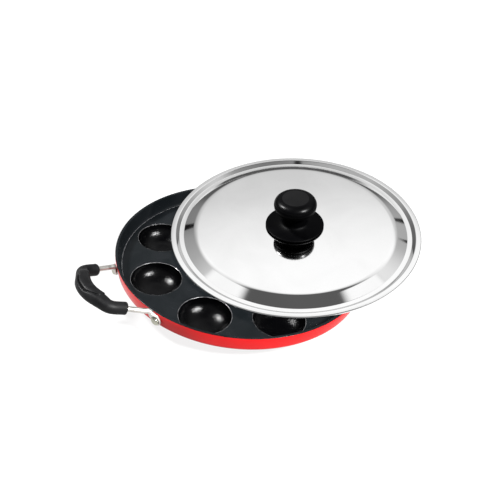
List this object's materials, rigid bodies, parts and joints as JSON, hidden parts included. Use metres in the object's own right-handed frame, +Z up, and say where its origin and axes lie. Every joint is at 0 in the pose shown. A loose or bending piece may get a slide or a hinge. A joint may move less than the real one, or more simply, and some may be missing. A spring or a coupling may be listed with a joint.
{
  "type": "paniyaram pan",
  "caption": "Round pressed pan with bowl-shaped cups for frying batter balls, riveted wire handles with moulded grips, and a loose steel lid with a knob.",
  "frame": {"origin": "on the pan's axis, on the flat cooking floor between the cups", "axes": "+Z up out of the pan, +X through the handle that the lid leans on, -X through the open handle"},
  "size_m": [0.3379, 0.2392, 0.0723],
  "materials": {
    "red_enamel": "satin red enamel outside the pressed sheet",
    "nonstick": "speckled black non-stick coating inside the pressed sheet",
    "handle_wire": "bright plated steel wire",
    "grip_black": "matte black moulded grip",
    "rivet": "bright rivet",
    "lid_steel": "mirror-polished steel",
    "knob_black": "semi-gloss black phenolic",
    "fastener_steel": "zinc-plated steel",
    "brass_insert": "turned brass"
  },
  "bodies": {
    "pan": {"pan_body": "red_enamel", "left_handle_wire": "handle_wire", "left_handle_grip": "grip_black", "left_handle_rivet_1": "rivet", "left_handle_rivet_2": "rivet", "right_handle_wire": "handle_wire", "right_handle_grip": "grip_black", "right_handle_rivet_1": "rivet", "right_handle_rivet_2": "rivet"},
    "lid": {"lid_cover": "lid_steel", "lid_knob": "knob_black", "knob_insert": "brass_insert", "knob_washer": "fastener_steel", "knob_screw": "fastener_steel"}
  },
  "joints": [
    {"name": "lid_lift", "type": "slide", "parent": "pan", "child": "lid", "axis": [0, 0, 1], "range_m": [0, 0.15]}
  ]
}
